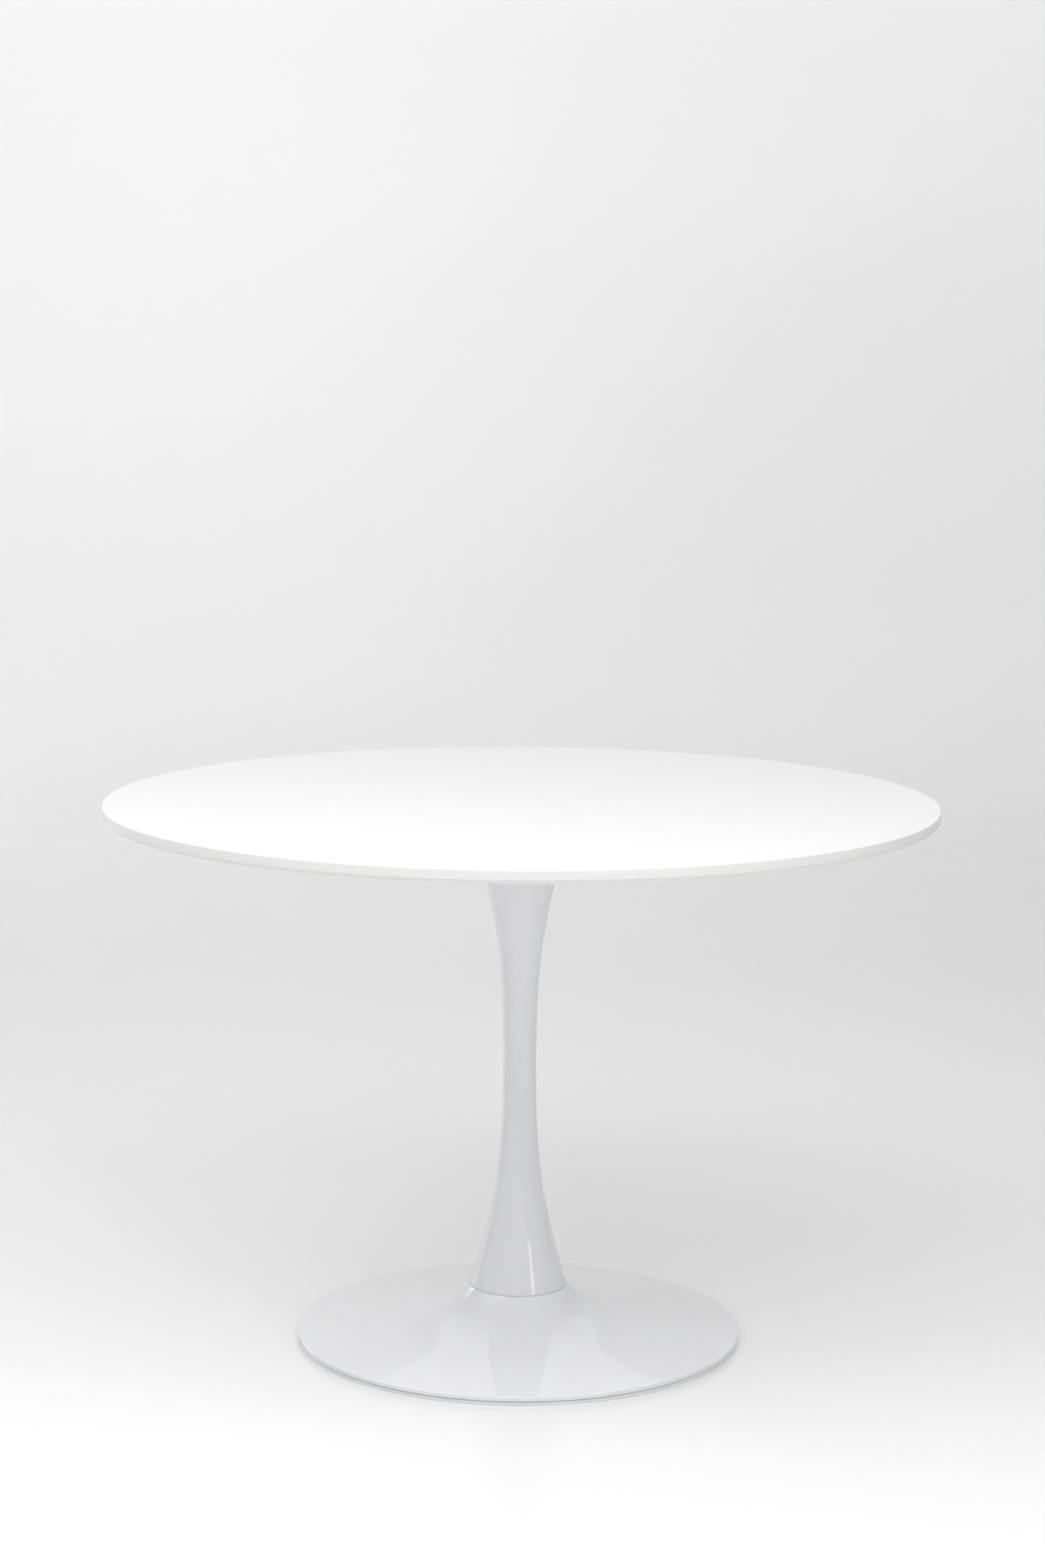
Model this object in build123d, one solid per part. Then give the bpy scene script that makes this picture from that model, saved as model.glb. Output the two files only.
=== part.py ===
from build123d import *

import math
import os

# Round pedestal table, in millimetres. +Z is up, and the origin is on the floor under the column's axis.
# Nearly every piece is turned about Z, so most are drawn as a half section (radius, height) and revolved.

# ---------------------------------------------------------------- driving dimensions
TABLE_HEIGHT = 728.0
TOP_RADIUS = 550.0
TOP_THICKNESS = 16.0
TOP_EDGE_ROUND = 1.0
TOP_CHAMFER = 4.0
CREASE_HEIGHT = 0.4  # V-groove between the upright edge and the chamfer
CREASE_DEPTH = 0.5

BASE_RADIUS = 297.0
SHEET = 2.0  # wall of the spun steel shells
SHELL_BOTTOM = 5.7  # underside of the folded rim
RIM_TOP = 11.2  # height at which the dome would meet the rim if it were not rounded
RIM_ROUND = 1.2
HEM_WIDTH = 12.0  # how far the rim is folded back inwards
HEM_ROUND = 1.0
DOME_SLOPE = 0.13
COLLAR_RADIUS = 66.3
COLLAR_ROUND = 1.2
FLARE_LENGTH = 22.0  # how quickly the flare under the collar dies away outwards
DOME_STEPS = 16  # points along the dome, closer together towards the collar
COLLAR_HOLE_RADIUS = 34.0

COLUMN_FOOT = 71.0  # height of the joint between base and column
COLUMN_END_RADIUS = 65.2
NECK_RADIUS = 22.0
END_SLOPE = 0.312  # change of radius with height at both ends of the column
NECK_HANDLE = 118.0  # handles of the Bezier curve that shapes the column's side
END_HANDLE = 122.0
COLUMN_EDGE_ROUND = 1.0

PLATE_RADIUS = 278.0
PLATE_BOTTOM = 3.0
PLATE_THICKNESS = 5.0
ACCESS_HOLE_RADIUS = 24.0

RING_RADIUS = 295.0
RING_VISIBLE_HEIGHT = 4.5
RING_SHOULDER = 2.0  # how far the part under the rim is set back from the ring's outside
RING_INNER_RADIUS = 260.0
RING_FOOT_CHAMFER = 0.6
RING_GRIP = 9.0  # how far the ring's lip reaches over the plate
RING_LIP = 1.0
RING_BACK = 2.0  # thickness of the ring beside the plate

CAP_PLUG_GAP = 0.2
CAP_BARB = 0.8
CAP_SKIRT = 2.0
CAP_SKIRT_HEIGHT = 3.0
CAP_RIM = 4.0  # how far the cap's flange covers the plate round the hole
CAP_THICKNESS = 1.5

HUB_DISC_RADIUS = 56.0
HUB_DISC_THICKNESS = 5.0
HUB_TUBE_RADIUS = 40.0
HUB_TUBE_WALL = 4.0

END_DISC_THICKNESS = 5.0  # discs welded into the ends of the column
WELD_GAP = 0.1

BAR_WIDTH = 40.0
BAR_HEIGHT = 20.0
BAR_WALL = 1.5
BAR_CORNER = 2.5
BAR_REACH = 330.0  # from the axis to the end of a bar
PLUG_FLANGE = 2.5
PLUG_DEPTH = 14.0
PLUG_WALL = 1.5
PLUG_GAP = 0.2
PLUG_CORNER = 0.8
PLUG_EDGE_ROUND = 1.0

SUPPORT_PLATE_RADIUS = 95.0
SUPPORT_PLATE_THICKNESS = 3.0
ROD_END_GAP = 1.0  # the rod ends this far below the support plate

ROD_RADIUS = 6.0
ROD_BOTTOM = 40.0
ROD_CHAMFER = 1.0
NUT_HEIGHT = 10.0
NUT_FLATS = 18.0
FIT_GAP = 0.05  # a screw or rod in its own nut or tapped hole
CLEARANCE = 0.5  # a screw or rod in a drilled hole
CLAMP_WASHER_RADIUS = 15.0
CLAMP_WASHER = 3.0
SPRING_WASHER_RADIUS = 10.5
SPRING_WASHER = 2.5
SPRING_SPLIT = 1.2
SPRING_SPLIT_ANGLE = 25.0

PIN_RADIUS = 4.0
PIN_CIRCLE = 48.0

M8_RADIUS = 4.0
M8_LENGTH = 12.0
M8_FLATS = 13.0
M8_HEAD = 5.3
M8_CIRCLE = 42.0
M8_WASHER_RADIUS = 8.0
M8_WASHER = 1.6

M6_RADIUS = 3.0
M6_LENGTH = 30.0
M6_HEAD_RADIUS = 5.5
M6_HEAD = 3.6
M6_HEAD_RIM = 0.4
M6_SOCKET_FLATS = 4.0
M6_WASHER_RADIUS = 9.0
M6_WASHER = 1.6
M6_STATIONS = (150.0, 290.0)  # distance of the top screws from the axis, on each arm
INSERT_RADIUS = 4.5
INSERT_LENGTH = 10.0
INSERT_GROOVES = 3
INSERT_GROOVE_DEPTH = 0.6

# ---------------------------------------------------------------- derived heights
TOP_UNDERSIDE = TABLE_HEIGHT - TOP_THICKNESS
BAR_BOTTOM = TOP_UNDERSIDE - BAR_HEIGHT
COLUMN_TOP = BAR_BOTTOM - SUPPORT_PLATE_THICKNESS
NECK_HEIGHT = (COLUMN_FOOT + COLUMN_TOP) / 2
LIP_UNDERSIDE = COLUMN_FOOT - SHEET
FLARE_HEIGHT = COLUMN_FOOT - RIM_TOP - DOME_SLOPE * (BASE_RADIUS - COLLAR_RADIUS)
HUB_BOTTOM = LIP_UNDERSIDE - HUB_DISC_THICKNESS
PLATE_TOP = PLATE_BOTTOM + PLATE_THICKNESS
ARM_ANGLES = (0, 90, 180, 270)
BETWEEN_ARMS = (45, 135, 225, 315)
PIN_ANGLES = (0, 180)


# ---------------------------------------------------------------- helpers
def at(r, z):
    """The point of a half section at a radius and a height."""
    return Vector(r, 0, z)


def turned(*points):
    """A ring or disc turned about Z from a closed half section of (radius, height) corners."""
    outline = Polyline(*[at(r, z) for r, z in points], close=True)
    return turned_outline(outline.edges())


def turned_outline(edges):
    """A piece turned about Z from the edges of a closed half section."""
    return revolve(Face(Wire(edges)), Axis.Z)


def cylinder(radius, bottom, top, x=0.0, y=0.0):
    return Pos(x, y, bottom) * extrude(Circle(radius), top - bottom)


def ring(outer, inner, bottom, top, x=0.0, y=0.0):
    return cylinder(outer, bottom, top, x, y) - cylinder(inner, bottom, top, x, y)


def hexagon(flats, bottom, top, x=0.0, y=0.0):
    return Pos(x, y, bottom) * extrude(RegularPolygon(flats / 2, 6, major_radius=False), top - bottom)


def hex_block(flats, bottom, top, x=0.0, y=0.0):
    """A hexagon with its corners turned down at both ends, as on a nut or a screw head."""
    corner = flats / math.sqrt(3)
    turned_down = flats * 0.06
    blank = turned(
        (0, bottom),
        (corner - turned_down, bottom),
        (corner, bottom + turned_down / 2),
        (corner, top - turned_down / 2),
        (corner - turned_down, top),
        (0, top),
    )
    return hexagon(flats, bottom, top, x, y) & (Pos(x, y, 0) * blank)


def around(circle_radius, angles):
    """Centres on a circle, at the given angles in degrees."""
    return [(circle_radius * cosine(a), circle_radius * sine(a)) for a in angles]


def cosine(degrees):
    return math.cos(math.radians(degrees))


def sine(degrees):
    return math.sin(math.radians(degrees))


def screw_places():
    """Centres of the screws between cross and tabletop: the stations along each arm."""
    return [place for station in M6_STATIONS for place in around(station, ARM_ANGLES)]


# ---------------------------------------------------------------- outlines
def trumpet_curve(depth):
    """Side of the lower half of the column, from foot to neck, moved in square to the sheet by a depth.

    One cubic Bezier curve: upright at the neck, and leaning out by END_SLOPE at the foot.
    """
    foot_radius = COLUMN_END_RADIUS - depth * math.hypot(1, END_SLOPE)
    neck_radius = NECK_RADIUS - depth
    return Bezier(
        at(foot_radius, COLUMN_FOOT),
        at(foot_radius - END_SLOPE * END_HANDLE, COLUMN_FOOT + END_HANDLE),
        at(neck_radius, NECK_HEIGHT - NECK_HANDLE),
        at(neck_radius, NECK_HEIGHT),
    )


def flare_at(radius):
    """Share of the flare's height left at a radius: 1 at the collar, dying away outwards."""
    return math.exp(-(radius - COLLAR_RADIUS) / FLARE_LENGTH)


def dome_height(radius):
    """Height of the base's outer surface: a shallow cone with a flare up to the collar."""
    return RIM_TOP + DOME_SLOPE * (BASE_RADIUS - radius) + FLARE_HEIGHT * flare_at(radius)


def dome_fall(radius):
    """Steepness of the base's outer surface, as fall of height with radius."""
    return DOME_SLOPE + FLARE_HEIGHT / FLARE_LENGTH * flare_at(radius)


def under_dome(depth, bottom):
    """Everything under the base's outer surface, moved in square to it by a depth, down to a level."""
    points = []
    for step in range(DOME_STEPS + 1):
        share = (1 - step / DOME_STEPS) ** 2
        radius = COLLAR_RADIUS + (BASE_RADIUS - COLLAR_RADIUS) * share
        fall = dome_fall(radius)
        square = math.hypot(1, fall)
        points.append(at(radius - depth * fall / square, dome_height(radius) - depth / square))
    rim, collar = points[0], points[-1]
    surface = Spline(*points)
    sides = Polyline(collar, at(0, collar.Z), at(0, bottom), at(rim.X, bottom), rim)
    return turned_outline([surface.edge(), *sides.edges()])


def circles_at(solid, radius, height):
    """The circular edges of a turned piece at a radius and a height."""
    return [
        e
        for e in solid.edges().filter_by(GeomType.CIRCLE)
        if abs(e.radius - radius) < 0.01 and abs(e.center().Z - height) < 0.01
    ]


# ---------------------------------------------------------------- pieces
def make_tabletop():
    """Round board: small rounding above, crease and chamfer below, blind holes for the inserts."""
    r, bottom, top = TOP_RADIUS, TOP_UNDERSIDE, TABLE_HEIGHT
    diagonal = TOP_EDGE_ROUND * (1 - math.sqrt(0.5))
    rounding = ThreePointArc(
        at(r, top - TOP_EDGE_ROUND),
        at(r - diagonal, top - diagonal),
        at(r - TOP_EDGE_ROUND, top),
    )
    crease = bottom + TOP_CHAMFER
    sides = Polyline(
        at(r - TOP_EDGE_ROUND, top),
        at(0, top),
        at(0, bottom),
        at(r - TOP_CHAMFER, bottom),
        at(r, crease),
        at(r - CREASE_DEPTH, crease + CREASE_HEIGHT / 2),
        at(r, crease + CREASE_HEIGHT),
        at(r, top - TOP_EDGE_ROUND),
    )
    board = turned_outline([rounding.edge(), *sides.edges()])
    for x, y in screw_places():
        board -= cylinder(INSERT_RADIUS + FIT_GAP, bottom, bottom + INSERT_LENGTH + CLEARANCE, x, y)
    return board


def make_threaded_inserts():
    """Brass inserts with coarse grooves outside and a bore for the screw."""
    inserts = []
    pitch = INSERT_LENGTH / (2 * INSERT_GROOVES + 1)
    for x, y in screw_places():
        insert = ring(INSERT_RADIUS, M6_RADIUS + FIT_GAP, TOP_UNDERSIDE, TOP_UNDERSIDE + INSERT_LENGTH, x, y)
        for groove in range(INSERT_GROOVES):
            low = TOP_UNDERSIDE + pitch * (2 * groove + 1)
            insert -= ring(INSERT_RADIUS + 1, INSERT_RADIUS - INSERT_GROOVE_DEPTH, low, low + pitch, x, y)
        inserts.append(insert)
    return Compound(inserts)


def make_column_lower():
    """Spun trumpet from the foot to the neck, with a slightly rounded outer edge at the foot."""
    outside = trumpet_curve(0)
    inside = trumpet_curve(SHEET)
    foot = Line(inside @ 0, outside @ 0)
    neck = Line(outside @ 1, inside @ 1)
    trumpet = turned_outline([foot.edge(), outside.edge(), neck.edge(), inside.edge()])
    return fillet(circles_at(trumpet, COLUMN_END_RADIUS, COLUMN_FOOT), COLUMN_EDGE_ROUND)


def make_column_upper():
    """The same trumpet turned over and welded to the lower one at the neck."""
    return mirror(make_column_lower(), about=Plane.XY.offset(NECK_HEIGHT))


def end_disc(bottom, top):
    """A disc welded inside an end of the column, with its edge at the lean of the column's wall."""

    def wall(z):
        from_end = min(z - COLUMN_FOOT, COLUMN_TOP - z)
        return COLUMN_END_RADIUS - SHEET * math.hypot(1, END_SLOPE) - END_SLOPE * from_end - WELD_GAP

    disc = turned((0, bottom), (wall(bottom), bottom), (wall(top), top), (0, top))
    return disc - cylinder(ROD_RADIUS + CLEARANCE, bottom, top)


def make_column_top_disc():
    """Upper end disc, tapped for the screws of the support plate."""
    bottom = COLUMN_TOP - END_DISC_THICKNESS
    disc = end_disc(bottom, COLUMN_TOP)
    for x, y in around(M8_CIRCLE, BETWEEN_ARMS):
        disc -= cylinder(M8_RADIUS + FIT_GAP, bottom, COLUMN_TOP, x, y)
    return disc


def make_column_foot_disc():
    """Lower end disc, with two holes for the locating pins."""
    top = COLUMN_FOOT + END_DISC_THICKNESS
    disc = end_disc(COLUMN_FOOT, top)
    for x, y in around(PIN_CIRCLE, PIN_ANGLES):
        disc -= cylinder(PIN_RADIUS + FIT_GAP, COLUMN_FOOT, top, x, y)
    return disc


def make_base_shell():
    """Spun dome: rim turned down and folded back inwards, shallow cone, flare, and a lip under the column."""
    body = under_dome(0, SHELL_BOTTOM)
    body = fillet(circles_at(body, BASE_RADIUS, RIM_TOP), RIM_ROUND)
    body = fillet(circles_at(body, BASE_RADIUS, SHELL_BOTTOM), HEM_ROUND)
    body = fillet(circles_at(body, COLLAR_RADIUS, COLUMN_FOOT), COLLAR_ROUND)
    within_rim = cylinder(BASE_RADIUS - SHEET, SHELL_BOTTOM + SHEET, LIP_UNDERSIDE)
    within_hem = cylinder(BASE_RADIUS - HEM_WIDTH, 0, LIP_UNDERSIDE)
    shell = body - (under_dome(SHEET, 0) & (within_rim + within_hem))
    shell -= cylinder(COLLAR_HOLE_RADIUS, LIP_UNDERSIDE, COLUMN_FOOT)
    for x, y in around(PIN_CIRCLE, PIN_ANGLES):
        shell -= cylinder(PIN_RADIUS + CLEARANCE / 2, LIP_UNDERSIDE, COLUMN_FOOT, x, y)
    return shell


def make_hub_disc():
    """Reinforcing disc welded under the collar's lip."""
    disc = ring(HUB_DISC_RADIUS, ROD_RADIUS + CLEARANCE, HUB_BOTTOM, LIP_UNDERSIDE)
    for x, y in around(PIN_CIRCLE, PIN_ANGLES):
        disc -= cylinder(PIN_RADIUS + FIT_GAP, HUB_BOTTOM, LIP_UNDERSIDE, x, y)
    return disc


def make_hub_tube():
    """Tube that stands on the bottom plate and carries the hub disc."""
    return ring(HUB_TUBE_RADIUS, HUB_TUBE_RADIUS - HUB_TUBE_WALL, PLATE_TOP, HUB_BOTTOM)


def make_locating_pins():
    """Pins pressed into the hub disc that enter the column's foot disc."""
    top = COLUMN_FOOT + END_DISC_THICKNESS
    return Compound([cylinder(PIN_RADIUS, HUB_BOTTOM, top, x, y) for x, y in around(PIN_CIRCLE, PIN_ANGLES)])


def make_bottom_plate():
    """Heavy steel disc, with a central hole for the spanner."""
    return ring(PLATE_RADIUS, ACCESS_HOLE_RADIUS, PLATE_BOTTOM, PLATE_TOP)


def make_edge_ring():
    """Plastic profile that grips the plate's edge, stands on the floor and carries the folded rim."""
    bite = PLATE_RADIUS - RING_GRIP
    shoulder = RING_RADIUS - RING_SHOULDER
    shoulder_inner = BASE_RADIUS - HEM_WIDTH - CLEARANCE
    return turned(
        (RING_INNER_RADIUS, RING_FOOT_CHAMFER),
        (RING_INNER_RADIUS + RING_FOOT_CHAMFER, 0),
        (RING_RADIUS - RING_FOOT_CHAMFER, 0),
        (RING_RADIUS, RING_FOOT_CHAMFER),
        (RING_RADIUS, RING_VISIBLE_HEIGHT),
        (shoulder, RING_VISIBLE_HEIGHT),
        (shoulder, SHELL_BOTTOM),
        (shoulder_inner, SHELL_BOTTOM),
        (shoulder_inner, PLATE_TOP),
        (PLATE_RADIUS + RING_BACK, PLATE_TOP + RING_LIP),
        (bite, PLATE_TOP + RING_LIP),
        (bite, PLATE_TOP),
        (PLATE_RADIUS, PLATE_TOP),
        (PLATE_RADIUS, PLATE_BOTTOM),
        (RING_INNER_RADIUS, PLATE_BOTTOM),
    )


def make_access_cap():
    """Plug with a thin flange under the plate and a barbed skirt inside the hole."""
    underside = PLATE_BOTTOM - CAP_THICKNESS
    plug = ACCESS_HOLE_RADIUS - CAP_PLUG_GAP
    flange = ACCESS_HOLE_RADIUS + CAP_RIM
    barb_height = PLATE_TOP + CAP_PLUG_GAP
    skirt_top = PLATE_TOP + CAP_SKIRT_HEIGHT
    return turned(
        (0, underside),
        (flange - 1, underside),
        (flange, underside + 1),
        (flange, PLATE_BOTTOM),
        (plug, PLATE_BOTTOM),
        (plug, barb_height),
        (ACCESS_HOLE_RADIUS + CAP_BARB, barb_height),
        (plug - CAP_SKIRT / 3, skirt_top),
        (plug - CAP_SKIRT, skirt_top),
        (plug - CAP_SKIRT, PLATE_BOTTOM),
        (0, PLATE_BOTTOM),
    )


def make_tie_rod():
    """Threaded rod from the clamp nut to the top disc, drawn at its outer thread diameter."""
    rod = cylinder(ROD_RADIUS, ROD_BOTTOM, COLUMN_TOP - ROD_END_GAP)
    return chamfer(rod.edges().filter_by(GeomType.CIRCLE), ROD_CHAMFER)


def rod_nut(bottom):
    """A nut on the tie rod."""
    top = bottom + NUT_HEIGHT
    return hex_block(NUT_FLATS, bottom, top) - cylinder(ROD_RADIUS + FIT_GAP, bottom, top)


def make_clamp_washer():
    """Flat washer under the hub disc."""
    return ring(CLAMP_WASHER_RADIUS, ROD_RADIUS + CLEARANCE, HUB_BOTTOM - CLAMP_WASHER, HUB_BOTTOM)


def make_clamp_spring_washer():
    """Split ring under the flat washer."""
    inner = ROD_RADIUS + CLEARANCE / 2
    top = HUB_BOTTOM - CLAMP_WASHER
    washer = ring(SPRING_WASHER_RADIUS, inner, top - SPRING_WASHER, top)
    cut = Box(2 * (SPRING_WASHER_RADIUS - inner), SPRING_SPLIT, 3 * SPRING_WASHER)
    middle = Pos((SPRING_WASHER_RADIUS + inner) / 2, 0, top - SPRING_WASHER / 2)
    return washer - middle * Rot(SPRING_SPLIT_ANGLE, 0, 0) * cut


def make_clamp_nut():
    """Nut that draws column and base together."""
    return rod_nut(HUB_BOTTOM - CLAMP_WASHER - SPRING_WASHER - NUT_HEIGHT)


def make_rod_anchor_nut():
    """Nut welded under the column's top disc."""
    return rod_nut(COLUMN_TOP - END_DISC_THICKNESS - NUT_HEIGHT)


def make_support_plate():
    """Round plate under the cross, drilled for its screws and for the rod's end."""
    plate = ring(SUPPORT_PLATE_RADIUS, 2 * ROD_RADIUS, COLUMN_TOP, BAR_BOTTOM)
    for x, y in around(M8_CIRCLE, BETWEEN_ARMS):
        plate -= cylinder(M8_RADIUS + CLEARANCE, COLUMN_TOP, BAR_BOTTOM, x, y)
    return plate


def washers(places, outer, inner, bottom, top):
    """The same flat washer at several places."""
    return Compound([ring(outer, inner, bottom, top, x, y) for x, y in places])


def make_support_plate_washers():
    """Washers on the support plate, between the bars."""
    places = around(M8_CIRCLE, BETWEEN_ARMS)
    inner = M8_RADIUS + CLEARANCE / 2
    return washers(places, M8_WASHER_RADIUS, inner, BAR_BOTTOM, BAR_BOTTOM + M8_WASHER)


def make_support_plate_screws():
    """Hexagon screws from above, between the bars, into the column's top disc."""
    seat = BAR_BOTTOM + M8_WASHER
    screws = []
    for x, y in around(M8_CIRCLE, BETWEEN_ARMS):
        head = hex_block(M8_FLATS, seat, seat + M8_HEAD, x, y)
        screws.append(head + cylinder(M8_RADIUS, seat - M8_LENGTH, seat, x, y))
    return Compound(screws)


def bar(inner_end, outer_end, angle):
    """A rectangular tube with rounded corners, lying along an arm and open at both ends."""
    outline = RectangleRounded(BAR_WIDTH, BAR_HEIGHT, BAR_CORNER)
    hollow = RectangleRounded(BAR_WIDTH - 2 * BAR_WALL, BAR_HEIGHT - 2 * BAR_WALL, BAR_CORNER - BAR_WALL)
    end_plane = Plane(origin=(inner_end, 0, BAR_BOTTOM + BAR_HEIGHT / 2), x_dir=(0, 1, 0), z_dir=(1, 0, 0))
    tube = extrude(end_plane * (outline - hollow), outer_end - inner_end)
    return Rot(0, 0, angle) * tube


def drilled(tube):
    """The tube with the screw holes that fall on it."""
    for x, y in screw_places():
        tube -= cylinder(M6_RADIUS + CLEARANCE / 2, BAR_BOTTOM, TOP_UNDERSIDE, x, y)
    return tube


def make_long_bar():
    """The bar that runs from rim to rim through the middle."""
    return drilled(bar(-BAR_REACH, BAR_REACH, 0))


def make_short_bars():
    """The two bars that butt against the long one."""
    return Compound([drilled(bar(BAR_WIDTH / 2, BAR_REACH, angle)) for angle in (90, 270)])


def make_bar_end_caps():
    """Plastic plugs: a flange as large as the bar, and a hollow plug inside it."""
    middle = BAR_BOTTOM + BAR_HEIGHT / 2
    plug_width = BAR_WIDTH - 2 * (BAR_WALL + PLUG_GAP)
    plug_height = BAR_HEIGHT - 2 * (BAR_WALL + PLUG_GAP)
    hollow_width = plug_width - 2 * PLUG_WALL
    hollow_height = plug_height - 2 * PLUG_WALL
    inside = Pos(BAR_REACH - PLUG_DEPTH / 2, 0, middle)
    caps = []
    for angle in ARM_ANGLES:
        flange = Pos(BAR_REACH + PLUG_FLANGE / 2, 0, middle) * Box(PLUG_FLANGE, BAR_WIDTH, BAR_HEIGHT)
        flange = fillet(flange.edges().filter_by(Axis.X), BAR_CORNER)
        flange = fillet(flange.faces().sort_by(Axis.X)[-1].edges(), PLUG_EDGE_ROUND)
        plug = inside * Box(PLUG_DEPTH, plug_width, plug_height)
        plug = fillet(plug.edges().filter_by(Axis.X), PLUG_CORNER)
        plug -= inside * Box(PLUG_DEPTH, hollow_width, hollow_height)
        caps.append(Rot(0, 0, angle) * (flange + plug))
    return Compound(caps)


def make_top_screw_washers():
    """Wide washers under the bars."""
    inner = M6_RADIUS + CLEARANCE / 2
    return washers(screw_places(), M6_WASHER_RADIUS, inner, BAR_BOTTOM - M6_WASHER, BAR_BOTTOM)


def make_top_screws():
    """Button-head screws with a hexagon socket, up through the bars into the inserts."""
    seat = BAR_BOTTOM - M6_WASHER
    dome = turned_outline(button_head_section(seat))
    screws = []
    for x, y in screw_places():
        screw = Pos(x, y, 0) * dome + cylinder(M6_RADIUS, seat, seat + M6_LENGTH, x, y)
        screws.append(screw - hexagon(M6_SOCKET_FLATS, seat - M6_HEAD, seat - M6_HEAD / 3, x, y))
    return Compound(screws)


def button_head_section(seat):
    """Half section of a domed head that hangs below its seat."""
    bottom = seat - M6_HEAD
    rim = seat - M6_HEAD_RIM
    flat = 0.45 * M6_HEAD_RADIUS
    crown = at(0.86 * M6_HEAD_RADIUS, seat - 0.62 * M6_HEAD)
    dome = ThreePointArc(at(flat, bottom), crown, at(M6_HEAD_RADIUS, rim))
    rest = Polyline(
        at(M6_HEAD_RADIUS, rim),
        at(M6_HEAD_RADIUS, seat),
        at(0, seat),
        at(0, bottom),
        at(flat, bottom),
    )
    return [dome.edge(), *rest.edges()]


PIECES = {
    "tabletop": make_tabletop,
    "threaded_inserts": make_threaded_inserts,
    "top_screws": make_top_screws,
    "top_screw_washers": make_top_screw_washers,
    "long_bar": make_long_bar,
    "short_bars": make_short_bars,
    "bar_end_caps": make_bar_end_caps,
    "support_plate": make_support_plate,
    "support_plate_screws": make_support_plate_screws,
    "support_plate_washers": make_support_plate_washers,
    "column_lower": make_column_lower,
    "column_upper": make_column_upper,
    "column_top_disc": make_column_top_disc,
    "column_foot_disc": make_column_foot_disc,
    "rod_anchor_nut": make_rod_anchor_nut,
    "tie_rod": make_tie_rod,
    "clamp_washer": make_clamp_washer,
    "clamp_spring_washer": make_clamp_spring_washer,
    "clamp_nut": make_clamp_nut,
    "locating_pins": make_locating_pins,
    "base_shell": make_base_shell,
    "hub_disc": make_hub_disc,
    "hub_tube": make_hub_tube,
    "bottom_plate": make_bottom_plate,
    "access_cap": make_access_cap,
    "edge_ring": make_edge_ring,
}

os.makedirs("parts", exist_ok=True)
for name, make in PIECES.items():
    piece = make()
    piece.label = name
    export_step(piece, f"parts/{name}.step")
    print(f"{name}: {piece.volume / 1000:.1f} cm3")
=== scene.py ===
"""Looks of the round pedestal table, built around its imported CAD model."""

import math

import bmesh
import bpy
from mathutils import Matrix, Vector


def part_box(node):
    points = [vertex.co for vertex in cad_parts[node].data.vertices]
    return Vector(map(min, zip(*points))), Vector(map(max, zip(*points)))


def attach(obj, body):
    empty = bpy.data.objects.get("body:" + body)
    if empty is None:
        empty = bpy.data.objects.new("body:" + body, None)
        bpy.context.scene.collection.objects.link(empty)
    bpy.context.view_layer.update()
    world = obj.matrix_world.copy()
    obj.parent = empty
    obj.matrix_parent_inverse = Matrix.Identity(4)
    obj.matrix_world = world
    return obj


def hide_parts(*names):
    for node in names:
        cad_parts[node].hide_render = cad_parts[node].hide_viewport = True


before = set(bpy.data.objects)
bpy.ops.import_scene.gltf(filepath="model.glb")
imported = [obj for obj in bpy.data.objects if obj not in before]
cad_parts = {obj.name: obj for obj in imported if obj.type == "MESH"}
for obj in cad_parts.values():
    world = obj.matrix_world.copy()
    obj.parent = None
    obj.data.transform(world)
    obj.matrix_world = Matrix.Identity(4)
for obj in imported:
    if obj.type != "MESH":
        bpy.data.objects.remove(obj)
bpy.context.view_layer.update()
ROOT = "root"

# ---------------------------------------------------------------- camera, in metres
CAMERA_DISTANCE = 4.1711
CAMERA_HEIGHT = 1.3457
CAMERA_DOWN = math.radians(8.124)
CAMERA_ROLL = math.radians(0.395)
CAMERA_YAW = math.radians(0.014)
LENS_MM = 73.31
SENSOR_WIDTH_MM = 36.0

# ---------------------------------------------------------------- studio, in metres and watts
FLOOR_CENTRE_RADIUS = 0.001
FLOOR_FLAT_RADIUS = 4.2
FLOOR_SWEEP_RADIUS = 2.6
FLOOR_SWEEP_STEPS = 24
BACKDROP_HEIGHT = 6.0
STAGE_SEGMENTS = 96
SKY_STRENGTH = 0.485

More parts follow.
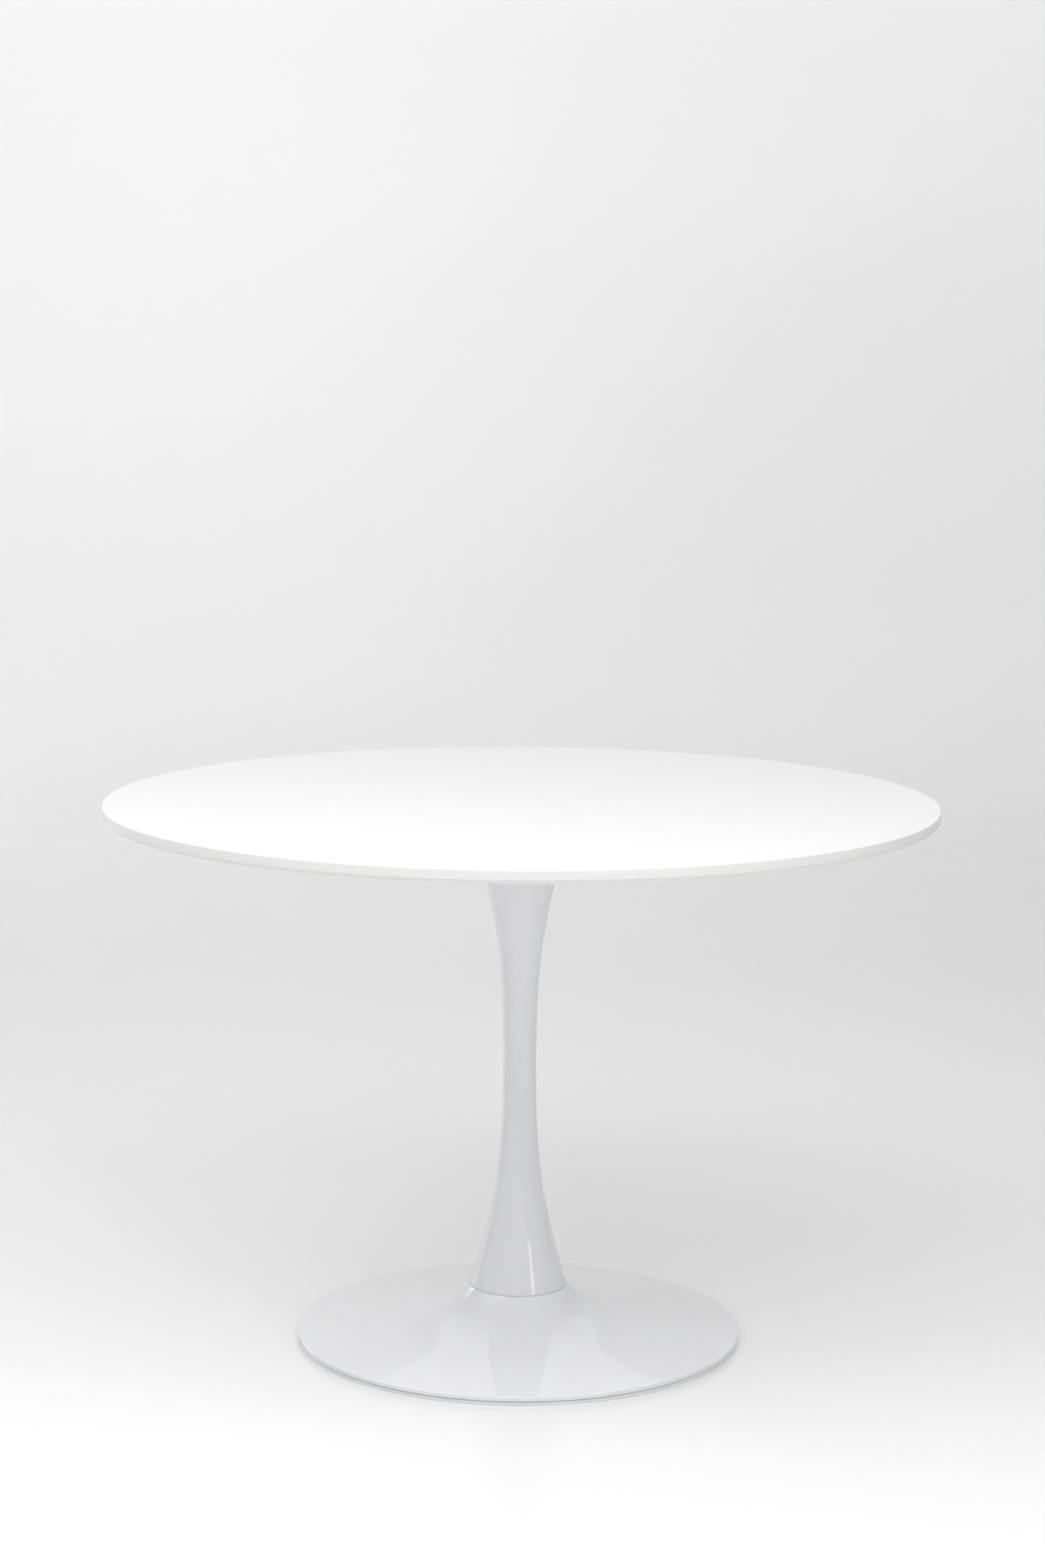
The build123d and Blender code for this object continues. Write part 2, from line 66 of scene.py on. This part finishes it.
# softboxes: place, the point they look at, width, height, power. Those named wall_ look away from the table,
# at the backdrop behind it
LAMPS = {
    "over_front": ((0.0, -1.7, 2.6), (0.0, -1.5, 0.0), 4.0, 1.8, 48.7),
    "over_table": ((0.0, 0.0, 2.9), (0.0, 0.0, 0.0), 3.0, 3.0, 4.8),
    "over_left": ((-2.4, -0.5, 2.6), (-2.2, -0.5, 0.0), 2.0, 3.0, 17.7),
    "behind": ((0.0, 2.12, 2.47), (0.0, 0.0, 0.35), 2.4, 2.0, 5.8),
    "strip_right": ((1.50, -2.06, 1.02), (0.0, 0.0, 0.25), 0.36, 0.87, 3.9),
    "floor_front": ((0.0, -2.0, 1.0), (0.0, -2.0, 0.0), 2.6, 0.8, 2.8),
    "low_front": ((0.0, -3.4, 0.45), (0.0, 0.0, 0.35), 4.0, 0.8, 3.2),
    "wall_left": ((-5.0, 4.0, 1.6), (-3.0, 7.0, 1.4), 1.5, 1.5, 116.5),
    "wall_low": ((-2.5, 3.6, 0.4), (-3.0, 7.0, 0.2), 2.0, 1.0, 1.5),
    "wall_centre": ((-0.9, 4.6, 2.3), (-0.9, 7.0, 1.9), 0.8, 0.5, 7.3),
    "wall_middle": ((0.2, 3.2, 2.6), (0.2, 6.6, 1.6), 1.4, 0.8, 11.1),
    "wall_high": ((0.6, 4.2, 3.6), (0.8, 7.0, 3.4), 2.4, 0.8, 3.1),
    "wall_right": ((2.5, 3.6, 3.2), (3.0, 7.0, 2.8), 2.0, 1.0, 12.8),
}

# ---------------------------------------------------------------- shading of meshes
SMOOTH_ANGLE = math.radians(30)  # edges sharper than this stay sharp

# ---------------------------------------------------------------- tabletop, in metres
BOARD_SEGMENTS = 720
EDGE_ROUND = 0.001
EDGE_ROUND_STEPS = 4
CHAMFER = 0.004
CREASE_HEIGHT = 0.0004
CREASE_DEPTH = 0.0005
SCREW_STATIONS = (0.150, 0.290)  # of the inserts, along each arm from the table's axis
HOLE_RADIUS = 0.00455
HOLE_DEPTH = 0.0105
HOLE_SEGMENTS = 48

# ---------------------------------------------------------------- weld beads, in metres
BEAD_LEG = 0.0028
BEAD_END_LEG = 0.35  # as a share of the full leg
BEAD_CORNERS = 6  # of its section
BEAD_INSET = 0.001  # how far a bead reaches in under the bar's rounded corner
BEAD_RIPPLE = 0.0018  # length of one ripple along a bead
BEAD_SWELL = 0.10  # how much a ripple adds to the leg
BEAD_STEPS_PER_RIPPLE = 5
STITCH_START = 0.042  # of the beads along a bar, from the table's axis
STITCH_END = 0.086
RIM_BEAD_HALF_ANGLE = math.radians(9.0)


# ---------------------------------------------------------------- nodes for materials
class Shader:
    """A material's node tree, with short calls for the nodes that the finishes share."""

    def __init__(self, name, **values):
        self.material = bpy.data.materials.new(name)
        self.material.use_nodes = True
        self.tree = self.material.node_tree
        self.surface = self.tree.nodes["Principled BSDF"]
        self.place = self.node("ShaderNodeTexCoord").outputs["Object"]
        for key, value in values.items():
            self.surface.inputs[key.replace("_", " ")].default_value = value

    def node(self, kind, **settings):
        made = self.tree.nodes.new(kind)
        for key, value in settings.items():
            setattr(made, key, value)
        return made

    def join(self, output, socket):
        self.tree.links.new(output, socket)

    def stretched(self, stretch):
        """The object's coordinates, scaled along each axis."""
        mapping = self.node("ShaderNodeMapping")
        mapping.inputs["Scale"].default_value = stretch
        self.join(self.place, mapping.inputs["Vector"])
        return mapping.outputs["Vector"]

    def noise(self, scale, detail=3.0, roughness=0.5, place=None):
        """Noise of so many cells per metre."""
        made = self.node("ShaderNodeTexNoise")
        made.inputs["Scale"].default_value = scale
        made.inputs["Detail"].default_value = detail
        made.inputs["Roughness"].default_value = roughness
        self.join(place or self.place, made.inputs["Vector"])
        return made.outputs["Fac"]

    def crystals(self, scale):
        """A random grey for each cell of a Voronoi pattern."""
        made = self.node("ShaderNodeTexVoronoi")
        made.inputs["Scale"].default_value = scale
        self.join(self.place, made.inputs["Vector"])
        return made.outputs["Color"]

    def turning_marks(self, scale):
        """Noise that changes only with the distance from the table's axis, as on lathe-turned steel."""
        flat = self.stretched((1, 1, 0))
        length = self.node("ShaderNodeVectorMath", operation="LENGTH")
        self.join(flat, length.inputs[0])
        along = self.node("ShaderNodeCombineXYZ")
        self.join(length.outputs["Value"], along.inputs["X"])
        return self.noise(scale, detail=2.0, place=along.outputs["Vector"])

    def ramp(self, value, low, high, start=0.3, end=0.7):
        """A number or a colour that runs from low to high as the value goes from start to end."""
        made = self.node("ShaderNodeValToRGB")
        for stop, place, colour in zip(made.color_ramp.elements, (start, end), (low, high)):
            stop.position = place
            stop.color = (colour, colour, colour, 1) if isinstance(colour, float) else (*colour, 1)
        self.join(value, made.inputs["Fac"])
        return made.outputs["Color"]

    def uprightness(self):
        """0 on level faces and 1 on upright ones."""
        flat = self.node("ShaderNodeVectorMath", operation="MULTIPLY")
        self.join(self.node("ShaderNodeTexCoord").outputs["Normal"], flat.inputs[0])
        flat.inputs[1].default_value = (1, 1, 0)
        length = self.node("ShaderNodeVectorMath", operation="LENGTH")
        self.join(flat.outputs["Vector"], length.inputs[0])
        return length.outputs["Value"]

    def tinted(self, colour, tint):
        """One colour multiplied by another."""
        made = self.node("ShaderNodeVectorMath", operation="MULTIPLY")
        self.join(colour, made.inputs[0])
        self.join(tint, made.inputs[1])
        return made.outputs["Vector"]

    def colour(self, value, low, high):
        self.join(self.ramp(value, low, high), self.surface.inputs["Base Color"])

    def rough(self, value, low, high):
        self.join(self.ramp(value, low, high), self.surface.inputs["Roughness"])

    def relief(self, *layers):
        """Bumps from (height pattern, depth in metres) layers, the coarsest first."""
        below = None
        for height, depth in layers:
            made = self.node("ShaderNodeBump")
            made.inputs["Distance"].default_value = depth
            self.join(height, made.inputs["Height"])
            if below:
                self.join(below, made.inputs["Normal"])
            below = made.outputs["Normal"]
        self.join(below, self.surface.inputs["Normal"])


# ---------------------------------------------------------------- finishes, by slot
def top_lacquer():
    """Satin white lacquer on fibreboard: faint orange peel, and a gloss that wiping has made uneven.

    The upright edge is painted a little greyer than the top: painted shade for the weaker light that falls on
    it.
    """
    look = Shader("top_lacquer")
    white = look.ramp(look.noise(3.0, detail=4.0), (0.865, 0.865, 0.865), (0.88, 0.88, 0.88))
    # painted shade: upright faces are multiplied by a grey, so the edge comes out darker than the top under
    # the same light
    edge = look.ramp(look.uprightness(), (1.0, 1.0, 1.0), (0.89, 0.89, 0.882), start=0.5, end=0.7)
    look.join(look.tinted(white, edge), look.surface.inputs["Base Color"])
    look.rough(look.noise(9.0, detail=6.0, roughness=0.6, place=look.stretched((1, 3, 1))), 0.30, 0.40)
    look.relief((look.noise(420.0, detail=1.0), 0.000008), (look.noise(1600.0, detail=2.0), 0.000002))
    return look.material


def base_lacquer():
    """Gloss white lacquer on spun steel, a little cooler than the top."""
    look = Shader("base_lacquer")
    look.colour(look.noise(4.0, detail=4.0), (0.80, 0.803, 0.82), (0.815, 0.818, 0.835))
    look.rough(look.noise(12.0, detail=5.0), 0.015, 0.03)
    look.relief((look.noise(260.0, detail=1.0), 0.0000012))
    return look.material


def bar_coating():
    """White powder coating with a fine sandy texture."""
    look = Shader("bar_coating")
    look.colour(look.noise(900.0, detail=2.0), (0.77, 0.78, 0.79), (0.83, 0.84, 0.85))
    look.rough(look.noise(60.0, detail=5.0), 0.42, 0.56)
    look.relief((look.noise(1400.0, detail=2.0), 0.00008), (look.noise(5000.0, detail=1.0), 0.00001))
    return look.material


def plate_coating():
    """Matt black powder coating, rubbed greyer in patches where the plate was dragged."""
    look = Shader("plate_coating")
    look.colour(look.noise(14.0, detail=8.0, roughness=0.7), (0.012, 0.012, 0.013), (0.034, 0.034, 0.036))
    look.rough(look.noise(35.0, detail=6.0), 0.50, 0.72)
    look.relief((look.noise(1100.0, detail=2.0), 0.00012), (look.noise(4200.0, detail=1.0), 0.00002))
    return look.material


def raw_steel():
    """Oiled mill-finish steel: blotchy, with turning marks round the table's axis."""
    look = Shader("raw_steel", Metallic=1.0)
    look.colour(look.noise(45.0, detail=7.0, roughness=0.65), (0.27, 0.26, 0.25), (0.46, 0.45, 0.44))
    look.rough(look.turning_marks(2400.0), 0.34, 0.55)
    look.relief((look.turning_marks(3200.0), 0.00003), (look.noise(1800.0, detail=3.0), 0.00001))
    return look.material


def zinc_steel():
    """Bright zinc plating: cool grey crystals with a faint straw tint, lightly handled."""
    look = Shader("zinc_steel", Metallic=1.0)
    look.colour(look.crystals(1300.0), (0.60, 0.62, 0.65), (0.73, 0.73, 0.70))
    look.rough(look.noise(300.0, detail=5.0), 0.20, 0.38)
    look.relief((look.noise(2600.0, detail=3.0), 0.000012))
    return look.material


def brass():
    """Turned brass: fine lines round each insert, browner where it has tarnished."""
    look = Shader("brass", Metallic=1.0)
    look.colour(look.noise(120.0, detail=6.0), (0.62, 0.44, 0.19), (0.81, 0.63, 0.32))
    look.rough(look.noise(400.0, detail=3.0), 0.22, 0.36)
    look.relief((look.noise(60.0, detail=2.0, place=look.stretched((1, 1, 90))), 0.00002))
    return look.material


def cap_plastic():
    """Black moulded plastic with the spark-eroded texture of its mould."""
    look = Shader("cap_plastic")
    look.colour(look.noise(500.0, detail=3.0), (0.010, 0.010, 0.011), (0.022, 0.022, 0.024))
    look.rough(look.noise(120.0, detail=5.0), 0.45, 0.60)
    look.relief((look.noise(2400.0, detail=2.0), 0.00005))
    return look.material


def ring_plastic():
    """Pale plastic, a little cloudy and softly shiny."""
    look = Shader("ring_plastic")
    look.colour(look.noise(30.0, detail=5.0), (0.80, 0.81, 0.82), (0.86, 0.87, 0.88))
    look.rough(look.noise(90.0, detail=5.0), 0.30, 0.46)
    look.relief((look.noise(700.0, detail=2.0), 0.00002))
    return look.material


# ---------------------------------------------------------------- meshes
def stack_of_circles(circles, segments, x=0.0, y=0.0, capped=True):
    """Points and faces of a shape turned about a vertical line, from (radius, height) circles."""
    points = []
    faces = []
    for radius, height in circles:
        for step in range(segments):
            angle = 2 * math.pi * step / segments
            points.append((x + radius * math.cos(angle), y + radius * math.sin(angle), height))
    for row in range(len(circles) - 1):
        for step in range(segments):
            here = row * segments + step
            beside = row * segments + (step + 1) % segments
            faces.append((here, here + segments, beside + segments, beside))
    if capped:
        faces.append(tuple(range(segments)))
        faces.append(tuple(reversed(range(len(points) - segments, len(points)))))
    return points, faces


def joined(parts):
    """The points and faces of several parts, as those of one."""
    points = []
    faces = []
    for part_points, part_faces in parts:
        first = len(points)
        points += part_points
        faces += [tuple(first + index for index in face) for face in part_faces]
    return points, faces


def smooth_object(name, points, faces):
    """A new object in the scene, from points and faces."""
    mesh = bpy.data.meshes.new(name)
    mesh.from_pydata(points, [], faces)
    smooth_within_edges(mesh)
    made = bpy.data.objects.new(name, mesh)
    bpy.context.scene.collection.objects.link(made)
    return made


def smooth_within_edges(mesh):
    """Smooth shading that stops at sharp edges."""
    for face in mesh.polygons:
        face.use_smooth = True
    mesh.set_sharp_from_angle(angle=SMOOTH_ANGLE)


def turn_faces_outwards(mesh):
    shape = bmesh.new()
    shape.from_mesh(mesh)
    bmesh.ops.recalc_face_normals(shape, faces=shape.faces)
    shape.to_mesh(mesh)
    shape.free()


# ---------------------------------------------------------------- studio
def studio_paint():
    """Plain white, with the faint sheen that gives the table a soft mirror image on the floor."""
    look = Shader("studio_sweep", Base_Color=(0.92, 0.92, 0.92, 1), Roughness=0.22)
    return look.material


def make_stage():
    """A pale floor that sweeps up into a backdrop all round."""
    circles = [(FLOOR_CENTRE_RADIUS, 0.0), (FLOOR_FLAT_RADIUS / 2, 0.0)]
    for step in range(FLOOR_SWEEP_STEPS + 1):
        angle = math.pi / 2 * step / FLOOR_SWEEP_STEPS
        radius = FLOOR_FLAT_RADIUS + FLOOR_SWEEP_RADIUS * math.sin(angle)
        circles.append((radius, FLOOR_SWEEP_RADIUS * (1 - math.cos(angle))))
    circles.append((FLOOR_FLAT_RADIUS + FLOOR_SWEEP_RADIUS, BACKDROP_HEIGHT))
    stage = smooth_object("studio_sweep", *stack_of_circles(circles, STAGE_SEGMENTS, capped=False))
    stage.data.materials.append(studio_paint())


def make_camera():
    """A 73 mm lens four metres in front of the table, tilted a little down."""
    forward = Vector(
        (
            math.sin(CAMERA_YAW) * math.cos(CAMERA_DOWN),
            math.cos(CAMERA_YAW) * math.cos(CAMERA_DOWN),
            -math.sin(CAMERA_DOWN),
        )
    )
    level = forward.cross(Vector((0, 0, 1))).normalized()
    upright = level.cross(forward)
    right = level * math.cos(CAMERA_ROLL) + upright * math.sin(CAMERA_ROLL)
    up = upright * math.cos(CAMERA_ROLL) - level * math.sin(CAMERA_ROLL)
    data = bpy.data.cameras.new("camera")
    data.lens = LENS_MM
    data.sensor_width = SENSOR_WIDTH_MM
    camera = bpy.data.objects.new("camera", data)
    turn = Matrix((right, up, -forward)).transposed().to_4x4()
    camera.matrix_world = Matrix.Translation((0, -CAMERA_DISTANCE, CAMERA_HEIGHT)) @ turn
    bpy.context.scene.collection.objects.link(camera)
    bpy.context.scene.camera = camera


def make_softbox(name, place, aim, width, height, power):
    """A rectangular area light that looks at a point."""
    data = bpy.data.lights.new(name, "AREA")
    data.shape = "RECTANGLE"
    data.size = width
    data.size_y = height
    data.energy = power
    lamp = bpy.data.objects.new(name, data)
    lamp.location = place
    lamp.rotation_euler = (Vector(aim) - Vector(place)).to_track_quat("-Z", "Y").to_euler()
    lamp.visible_camera = False
    bpy.context.scene.collection.objects.link(lamp)


def make_lights():
    """An even white sky and the softboxes."""
    world = bpy.data.worlds.new("studio")
    world.use_nodes = True
    sky = world.node_tree.nodes["Background"]
    sky.inputs["Color"].default_value = (1, 1, 1, 1)
    sky.inputs["Strength"].default_value = SKY_STRENGTH
    bpy.context.scene.world = world
    for name, (place, aim, width, height, power) in LAMPS.items():
        make_softbox(name, place, aim, width, height, power)


# ---------------------------------------------------------------- tabletop
def tabletop_board():
    """The board with a finer outline than the CAD mesh, so that its edge, crease and chamfer run smoothly."""
    board_low, board_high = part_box("tabletop")
    radius = board_high.x
    bottom = board_low.z
    top = board_high.z
    circles = [(radius - 2 * EDGE_ROUND, top)]
    for step in range(EDGE_ROUND_STEPS + 1):
        angle = math.pi / 2 * (1 - step / EDGE_ROUND_STEPS)
        inset = EDGE_ROUND * (1 - math.cos(angle))
        drop = EDGE_ROUND * (1 - math.sin(angle))
        circles.append((radius - inset, top - drop))
    crease = bottom + CHAMFER
    circles += [
        (radius, crease + CREASE_HEIGHT),
        (radius - CREASE_DEPTH, crease + CREASE_HEIGHT / 2),
        (radius, crease),
        (radius - CHAMFER, bottom),
    ]
    board = smooth_object("tabletop_board", *stack_of_circles(circles, BOARD_SEGMENTS))
    turn_faces_outwards(board.data)
    cut_insert_holes(board, bottom)
    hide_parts("tabletop")
    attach(board, ROOT)
    return board


def cut_insert_holes(board, bottom):
    """Blind holes for the threaded inserts, two along each arm of the cross."""
    circles = [(HOLE_RADIUS, bottom + HOLE_DEPTH), (HOLE_RADIUS, bottom - HOLE_DEPTH)]
    holes = []
    for station in SCREW_STATIONS:
        for x, y in ((station, 0), (0, station), (-station, 0), (0, -station)):
            holes.append(stack_of_circles(circles, HOLE_SEGMENTS, x, y))
    cutter = smooth_object("insert_holes", *joined(holes))
    turn_faces_outwards(cutter.data)
    modifier = board.modifiers.new("insert_holes", "BOOLEAN")
    modifier.operation = "DIFFERENCE"
    modifier.solver = "EXACT"
    modifier.object = cutter
    finished = board.evaluated_get(bpy.context.evaluated_depsgraph_get())
    board.data = bpy.data.meshes.new_from_object(finished)
    board.modifiers.clear()
    bpy.data.objects.remove(cutter)
    smooth_within_edges(board.data)


# ---------------------------------------------------------------- weld beads on the support cross
def bead(path, out, up):
    """The points and faces of one fillet bead along a path, between the faces that out and up lie in.

    Out is a function of the place on the path. The section is a quarter disc that swells and shrinks
    with each ripple, and dies away at both ends.
    """
    corners = BEAD_CORNERS
    last = len(path) - 1
    points = []
    faces = [tuple(range(corners))]
    for index, place in enumerate(path):
        ripple = 1 + BEAD_SWELL * abs(math.sin(math.pi * index / BEAD_STEPS_PER_RIPPLE))
        from_end = min(1.0, min(index, last - index) / BEAD_STEPS_PER_RIPPLE)
        fade = BEAD_END_LEG + (1 - BEAD_END_LEG) * from_end
        leg = BEAD_LEG * ripple * fade
        points.append(place)
        for corner in range(corners - 1):
            angle = math.pi / 2 * corner / (corners - 2)
            points.append(place + out(place) * leg * math.cos(angle) + up * leg * math.sin(angle))
    for index in range(last):
        here = index * corners
        for corner in range(corners):
            across = (corner + 1) % corners
            faces.append((here + corner, here + corners + corner, here + corners + across, here + across))
    faces.append(tuple(reversed(range(last * corners, (last + 1) * corners))))
    return points, faces


def bead_steps(length):
    """How many steps a bead of this length is divided into."""
    return max(2, round(length / BEAD_RIPPLE * BEAD_STEPS_PER_RIPPLE))


def straight_path(start, end):
    steps = bead_steps((end - start).length)
    return [start.lerp(end, step / steps) for step in range(steps + 1)]


def rim_path(direction, radius, height):
    """An arc along the support plate's rim, centred under the arm in that direction."""
    steps = bead_steps(2 * RIM_BEAD_HALF_ANGLE * radius)
    path = []
    for step in range(steps + 1):
        angle = direction + RIM_BEAD_HALF_ANGLE * (2 * step / steps - 1)
        path.append(Vector((radius * math.cos(angle), radius * math.sin(angle), height)))
    return path


def bar_welds():
    """Stitch welds between bars and plate, upright welds between the bars, and one under each arm."""
    bars_low, bars_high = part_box("long_bar")
    bottom = bars_low.z
    half_width = bars_high.y
    plate_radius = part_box("support_plate")[1].x
    up = Vector((0, 0, 1))
    beads = []
    for quarter in range(4):
        direction = math.pi / 2 * quarter
        along = Vector((math.cos(direction), math.sin(direction), 0))
        across = Vector((-along.y, along.x, 0))
        for side in (across, -across):
            foot = side * (half_width - BEAD_INSET) + up * bottom
            path = straight_path(foot + along * STITCH_START, foot + along * STITCH_END)
            beads.append(bead(path, lambda place, side=side: side, up))
        corner = (along + across) * (half_width - BEAD_INSET / 2)
        path = straight_path(corner + up * (bottom + BEAD_LEG), corner + up * (bars_high.z - BEAD_LEG))
        beads.append(bead(path, lambda place, along=along: along, across))
        under = rim_path(direction, plate_radius, bottom)
        beads.append(bead(under, lambda place: Vector((place.x, place.y, 0)).normalized(), -up))
    welds = smooth_object("bar_welds", *joined(beads))
    turn_faces_outwards(welds.data)
    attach(welds, ROOT)
    return welds


# ---------------------------------------------------------------- the model and its studio
def give(material, *nodes):
    """Put a material in the slots of some CAD nodes, and hand it back."""
    for node in nodes:
        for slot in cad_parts[node].material_slots:
            slot.material = material
    return material


make_camera()
make_stage()
make_lights()
tabletop_board().data.materials.append(give(top_lacquer(), "tabletop"))
give(base_lacquer(), "column_lower", "column_upper", "base_shell")
coating = give(bar_coating(), "long_bar", "short_bars", "support_plate")
bar_welds().data.materials.append(coating)
give(plate_coating(), "bottom_plate")
give(raw_steel(), "column_top_disc", "column_foot_disc", "rod_anchor_nut", "hub_disc", "hub_tube")
give(
    zinc_steel(),
    "top_screws",
    "top_screw_washers",
    "support_plate_screws",
    "support_plate_washers",
    "tie_rod",
    "clamp_washer",
    "clamp_spring_washer",
    "clamp_nut",
    "locating_pins",
)
give(brass(), "threaded_inserts")
give(cap_plastic(), "bar_end_caps", "access_cap")
give(ring_plastic(), "edge_ring")

bpy.context.scene.view_settings.view_transform = "Standard"
